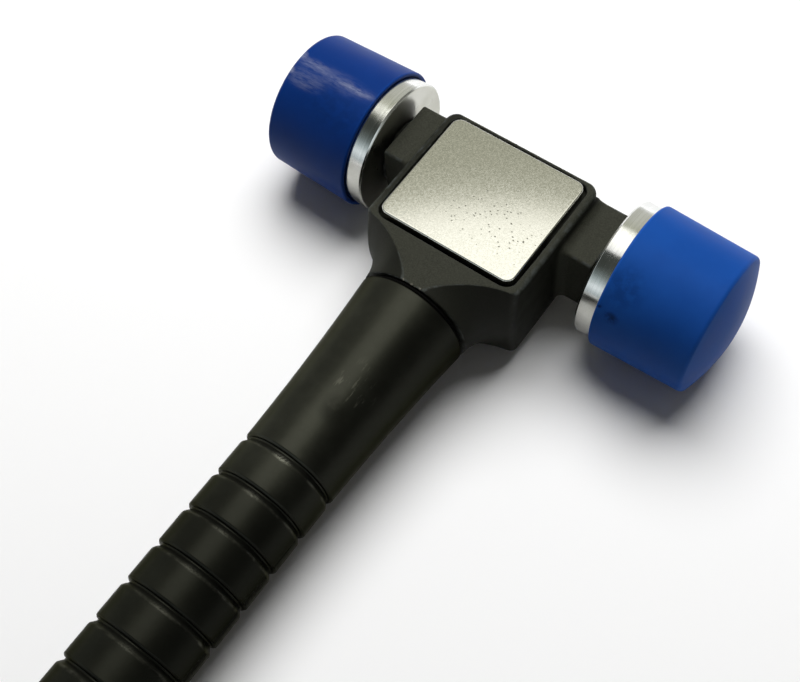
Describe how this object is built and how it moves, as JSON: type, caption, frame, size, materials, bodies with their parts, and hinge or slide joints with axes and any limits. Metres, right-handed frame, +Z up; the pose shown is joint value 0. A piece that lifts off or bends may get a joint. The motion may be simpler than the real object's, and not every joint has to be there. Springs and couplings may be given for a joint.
{
  "type": "knockdown hammer",
  "caption": "Hammer with soft blue caps on turned aluminium pucks at both ends of a black block head, a metal plate on top and a tapered handle with ring grooves, for tapping sheet metal.",
  "frame": {"origin": "under the middle of the hammer's box, on the surface that its caps lie on", "axes": "+Y along the handle from its butt to the head, +X along the striking axis, +Z up out of the plate"},
  "size_m": [0.1308, 0.3092, 0.038],
  "materials": {
    "head_black": "fine matte textured coat",
    "plate_nickel": "grainy satin",
    "bond_grey": "matt",
    "stud_steel": "plain steel",
    "washer_black": "blackened",
    "puck_aluminium": "bright turned",
    "cap_blue": "satin",
    "handle_black": "black satin",
    "ring_black": "matt"
  },
  "bodies": {
    "hammer": {"head_body": "head_black", "top_plate": "plate_nickel", "plate_bond": "bond_grey", "right_stud": "stud_steel", "left_stud": "stud_steel", "handle": "handle_black", "handle_stud": "stud_steel", "neck_washer": "ring_black"},
    "right_washer_body": {"right_washer": "washer_black"},
    "right_puck_body": {"right_puck": "puck_aluminium"},
    "right_cap_body": {"right_cap": "cap_blue"},
    "left_washer_body": {"left_washer": "washer_black"},
    "left_puck_body": {"left_puck": "puck_aluminium"},
    "left_cap_body": {"left_cap": "cap_blue"}
  },
  "joints": [
    {"name": "right_screw_travel", "type": "slide", "parent": "hammer", "child": "right_washer_body", "axis": [1, 0, 0], "range_m": [0, 0.012]},
    {"name": "right_puck_turn", "type": "hinge", "parent": "right_washer_body", "child": "right_puck_body", "pos_m": [0, 0.1356, 0.019], "axis": [1, 0, 0], "range_deg": [0, 2880]},
    {"name": "right_cap_pull", "type": "slide", "parent": "right_puck_body", "child": "right_cap_body", "axis": [1, 0, 0], "range_m": [0, 0.03]},
    {"name": "left_screw_travel", "type": "slide", "parent": "hammer", "child": "left_washer_body", "axis": [-1, 0, 0], "range_m": [0, 0.012]},
    {"name": "left_puck_turn", "type": "hinge", "parent": "left_washer_body", "child": "left_puck_body", "pos_m": [0, 0.1356, 0.019], "axis": [-1, 0, 0], "range_deg": [0, 2880]},
    {"name": "left_cap_pull", "type": "slide", "parent": "left_puck_body", "child": "left_cap_body", "axis": [-1, 0, 0], "range_m": [0, 0.03]}
  ],
  "couplings": [
    {"joint": "right_screw_travel", "follows": "right_puck_turn", "m_per_rad": 0.00023873},
    {"joint": "left_screw_travel", "follows": "left_puck_turn", "m_per_rad": 0.00023873}
  ]
}
